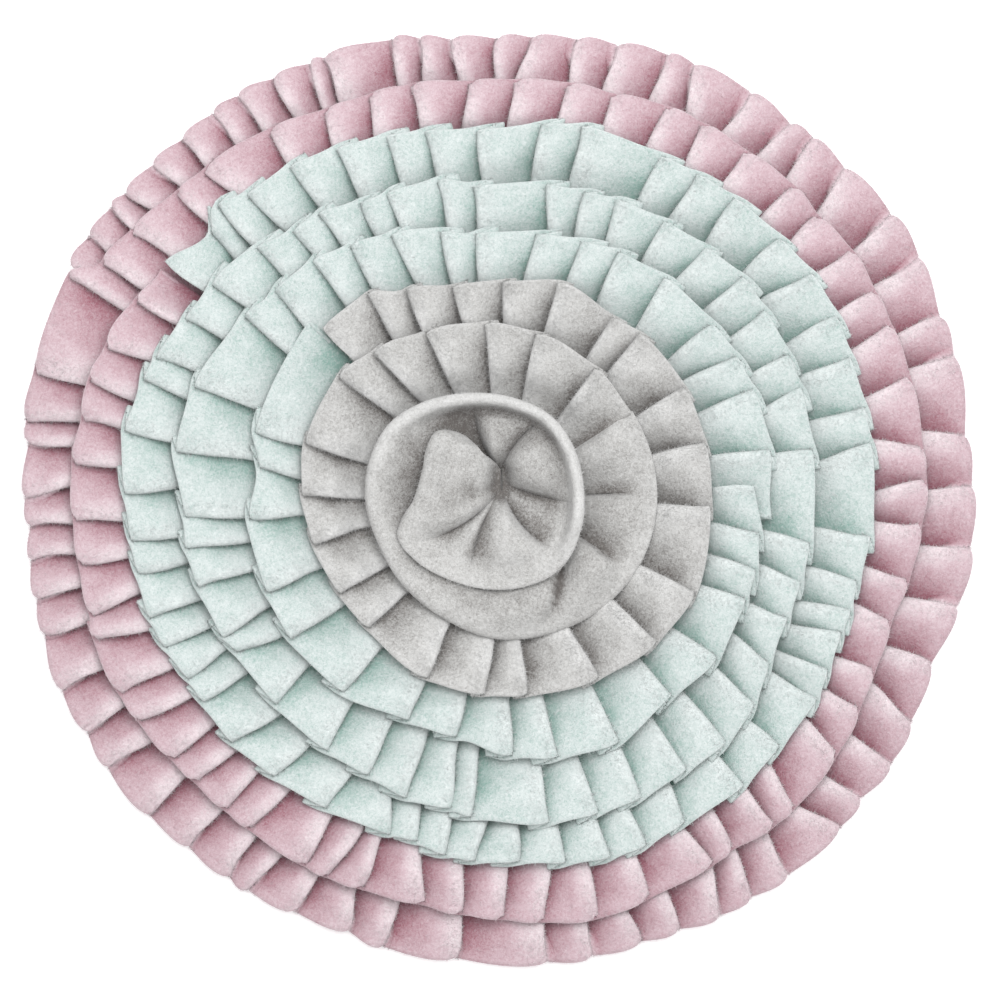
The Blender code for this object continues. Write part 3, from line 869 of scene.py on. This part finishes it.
def spikes_mesh(name, roots, tips, square, depth):
    """One mesh of fine closed spikes, each a three-sided hair from a root to a tip."""
    count = len(roots)
    way = unit(tips - roots)
    aside = unit(np.cross(way, np.array(ASKEW)))
    third = np.cross(way, aside)
    corners = []
    for turn in (0, 120, 240):
        a = math.radians(turn)
        corners.append(roots + (aside * math.cos(a) + third * math.sin(a)) * NAP_WIDTH / 2)
    points = np.stack([*corners, tips], axis=1).reshape(-1, 3) * MM
    first = (np.arange(count) * NAP_CORNERS)[:, None]
    faces = np.stack([first + f for f in ((0, 1, 3), (1, 2, 3), (2, 0, 3), (0, 2, 1))], axis=1).reshape(-1, 3)
    mesh = bpy.data.meshes.new(name)
    mesh.vertices.add(len(points))
    mesh.vertices.foreach_set("co", points.astype(np.float32).ravel())
    mesh.loops.add(faces.size)
    mesh.loops.foreach_set("vertex_index", faces.astype(np.int32).ravel())
    mesh.polygons.add(len(faces))
    mesh.polygons.foreach_set("loop_start", np.arange(0, faces.size, 3, dtype=np.int32))
    mesh.update(calc_edges=True)
    # each hair takes the painted shade of the cloth under it, with a painted highlight
    mesh.attributes.new("depth", "FLOAT", "POINT").data.foreach_set(
        "value", np.repeat(depth + NAP_PAINTED_HIGHLIGHT, NAP_CORNERS).astype(np.float32))
    mesh.shade_smooth()
    mesh.normals_split_custom_set_from_vertices(np.repeat(square, NAP_CORNERS, axis=0))
    return mesh


def scattered(laid, count, rng):
    """Random places on a strip's upper face: where, square to the cloth there, and the painted shade there.
    """
    upper = -square_to(laid.lines)
    face = laid.lines + upper * CLOTH / 2
    along, across = face[1:, :-1] - face[:-1, :-1], face[:-1, 1:] - face[:-1, :-1]
    weight = np.linalg.norm(np.cross(along, across), axis=-1) * laid.crest[:-1, None]
    chosen = rng.choice(weight.size, size=count, p=(weight / weight.sum()).ravel())
    i, k = np.unravel_index(chosen, weight.shape)
    u, v = rng.random((2, count, 1))
    spots = []
    for grid in (face, upper, laid.depth[..., None]):
        low = grid[i, k] * (1 - u) + grid[i + 1, k] * u
        high = grid[i, k + 1] * (1 - u) + grid[i + 1, k + 1] * u
        spots.append(low * (1 - v) + high * v)
    return spots[0], unit(spots[1]), spots[2][:, 0]


def on_hem(laid, count, rng):
    """Random places along a strip's hem, square to the cloth there, and the way out of it."""
    i = rng.integers(0, len(laid.lines) - 1, count)
    u = rng.random((count, 1))
    hem = laid.lines[i, -1] * (1 - u) + laid.lines[i + 1, -1] * u
    inner = laid.lines[i, -2] * (1 - u) + laid.lines[i + 1, -2] * u
    upper = -square_to(laid.lines)[i, -1]
    rise = rng.uniform(-0.5, 0.5, (count, 1)) * CLOTH
    return hem + upper * rise, upper, unit(unit(hem - inner) + upper * rise)


def make_nap(name, laid, count, material, covers, rng):
    """The raised pile of a strip: fine hairs on what can be seen of it, and along its hem."""
    spots, square, depth = scattered(laid, int(count * NAP_TRIES), rng)
    seen = []
    for at, up in zip(spots, square):
        ray = Vector(at + up * COVER_FROM) * MM, Vector((0, 0, 1)), COVER_TO * MM
        seen.append(all(cover.ray_cast(*ray)[0] is None for cover in covers))
    seen = np.array(seen)
    on_face = int(count * (1 - HEM_HAIR))
    spots, square, depth = (found[seen][:on_face] for found in (spots, square, depth))
    hem, upper, out = on_hem(laid, count - on_face, rng)
    roots, way = np.concatenate([spots, hem]), np.concatenate([square, out])
    square, depth = np.concatenate([square, upper]), np.concatenate([depth, np.zeros(len(hem))])
    stray = rng.normal(size=roots.shape)
    lean = unit(way * NAP_STAND + unit(stray) * NAP_STRAY)
    lean = np.where((lean * way).sum(axis=1, keepdims=True) < 0, -lean, lean)
    length = rng.uniform(*NAP_LENGTH, (len(roots), 1))
    mesh = spikes_mesh(name, roots - way * NAP_ROOT, roots + lean * length, square, depth)
    piece = place(name, mesh, material)
    return piece


def make_strip(strip, material, seed):
    """One strip, laid and closed."""
    rng, name = random.Random(seed), strip.name + "_fleece"
    laid = strip_lines(strip.sections, strip.first_turn, strip.start_up, STYLES[strip.style], rng)
    piece = place(name, cloth_mesh(name, laid), material)
    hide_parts(strip.name)
    return piece, laid


def base_mesh(name):
    """A round of felt with a soft cut edge, a little uneven, on the floor."""
    profile = [(0.0, 0.0)]
    profile += [(BASE_RADIUS * k / BASE_RINGS, 0.0) for k in range(1, BASE_RINGS)]
    half = BASE_THICK / 2
    for k in range(BASE_EDGE + 1):
        turn = math.pi * (k / BASE_EDGE - 0.5)
        profile.append((BASE_RADIUS - half * (1 - math.cos(turn)), half + half * math.sin(turn)))
    profile += [(BASE_RADIUS * k / BASE_RINGS, BASE_THICK) for k in range(BASE_RINGS - 1, -1, -1)]
    disc = bmesh.new()
    rings = []
    for radius, height in profile:
        if radius == 0:
            rings.append([disc.verts.new((0, 0, height * MM))] * BASE_SIDES)
            continue
        ring = []
        for k in range(BASE_SIDES):
            turn = math.tau * k / BASE_SIDES
            x, y = math.cos(turn), math.sin(turn)
            stray = BASE_UNEVEN * noise.noise(Vector((BASE_WAVES * x, BASE_WAVES * y, 0)))
            out = (radius - (BASE_TRIM - stray) * (radius / BASE_RADIUS) ** BASE_EDGE_POWER) * MM
            ring.append(disc.verts.new((out * x, out * y, height * MM)))
        rings.append(ring)
    for low, high in zip(rings, rings[1:]):
        for k in range(BASE_SIDES):
            corners = (low[k - 1], low[k], high[k], high[k - 1])
            disc.faces.new(dict.fromkeys(corners))
    bmesh.ops.recalc_face_normals(disc, faces=disc.faces)
    mesh = bpy.data.meshes.new(name)
    disc.to_mesh(mesh)
    disc.free()
    mesh.shade_smooth()
    return mesh


class SNUFFLE_OT_base(bpy.types.Operator):
    """Lay the round felt base"""

    bl_idname = "snuffle.base"
    bl_label = "Felt base"

    def execute(self, context):
        felt_white = felt("felt_white", tuple(context.scene.snuffle_mat.felt))
        piece = place("base_felt", base_mesh("base_felt"), felt_white)
        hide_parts("base_cloth")
        return {"FINISHED"}


class SNUFFLE_OT_ruffles(bpy.types.Operator):
    """Lay the four pleated strips"""

    bl_idname = "snuffle.ruffles"
    bl_label = "Pleated ruffles"

    def execute(self, context):
        mat = context.scene.snuffle_mat
        cloths = {}
        for colour, tone in TONES.items():
            name = "fleece_" + colour
            cloths[name] = fleece(name, tone.grain, *tones_of(getattr(mat, colour), tone.deep, tone.light))
        made = {}
        for strip in STRIPS:
            made[strip.name] = make_strip(strip, cloths[strip.slot], mat.seed)
        covers = []
        for piece, _ in made.values():
            faces = [tuple(face.vertices) for face in piece.data.polygons]
            covers.append(BVHTree.FromPolygons([corner.co for corner in piece.data.vertices], faces))
        rng = np.random.default_rng(mat.seed)
        for strip in STRIPS:
            piece, laid = made[strip.name]
            name = strip.name.replace("ruffle", "nap")
            nap = make_nap(name, laid, strip.hairs, cloths[strip.slot], covers, rng)
            lies_on = [made[other][0] for other in strip.lies_on] + ["base_felt"]
        return {"FINISHED"}


class SNUFFLE_OT_stage(bpy.types.Operator):
    """Set up the floor, the camera and the lights"""

    bl_idname = "snuffle.stage"
    bl_label = "Stage"

    def execute(self, context):
        stage = context.scene.snuffle_stage
        ground = bpy.data.meshes.new("floor")
        corners = [(x * FLOOR_HALF, y * FLOOR_HALF, 0) for x, y in ((-1, -1), (1, -1), (1, 1), (-1, 1))]
        ground.from_pydata(corners, [], [(0, 1, 2, 3)])
        ground.materials.append(Shader("floor_white").skin_of(
            Base_Color=(0.9, 0.9, 0.9, 1), Roughness=1.0, Specular_IOR_Level=0.0,
            Emission_Color=(1, 1, 1, 1), Emission_Strength=0.35))
        floor = bpy.data.objects.new("floor", ground)
        floor.location.z = -FLOOR_DROP
        context.scene.collection.objects.link(floor)
        camera = bpy.data.objects.new("camera", bpy.data.cameras.new("camera"))
        camera.location = (0.0, 0.0, stage.camera_height)
        camera.data.sensor_width = SENSOR
        camera.data.lens = SENSOR * (stage.camera_height - SIGHT_HEIGHT) / stage.view_width
        camera.data.clip_end = SIGHT_END
        context.scene.collection.objects.link(camera)
        context.scene.camera = camera
        soft_lamp("overhead", LAMP_AT, LAMP_SIZE, stage.lamp_power)
        world = bpy.data.worlds.new("sky")
        world.use_nodes = True
        sky = world.node_tree.nodes["Background"].inputs
        sky["Color"].default_value = (1, 1, 1, 1)
        sky["Strength"].default_value = stage.sky
        context.scene.world = world
        context.scene.view_settings.view_transform = "Standard"
        return {"FINISHED"}


class SNUFFLE_PT_panel(bpy.types.Panel):
    """The mat's pieces, and its sizes and colours"""

    bl_idname = "SNUFFLE_PT_panel"
    bl_label = "Snuffle Mat"
    bl_space_type = "VIEW_3D"
    bl_region_type = "UI"
    bl_category = "Snuffle Mat"

    def draw(self, context):
        for group in (context.scene.snuffle_mat, context.scene.snuffle_stage):
            for name in group.__annotations__:
                self.layout.prop(group, name)
        for step in STEPS:
            self.layout.operator(step.bl_idname)


STEPS = (SNUFFLE_OT_base, SNUFFLE_OT_ruffles, SNUFFLE_OT_stage)
CLASSES = (SnuffleMatSettings, StageSettings, *STEPS, SNUFFLE_PT_panel)


def register():
    for cls in CLASSES:
        bpy.utils.register_class(cls)
    bpy.types.Scene.snuffle_mat = bpy.props.PointerProperty(type=SnuffleMatSettings)
    bpy.types.Scene.snuffle_stage = bpy.props.PointerProperty(type=StageSettings)


def unregister():
    del bpy.types.Scene.snuffle_stage
    del bpy.types.Scene.snuffle_mat
    for cls in reversed(CLASSES):
        bpy.utils.unregister_class(cls)


def main():
    register()
    bpy.ops.snuffle.base()
    bpy.ops.snuffle.ruffles()
    bpy.ops.snuffle.stage()


if __name__ == "__main__":
    main()
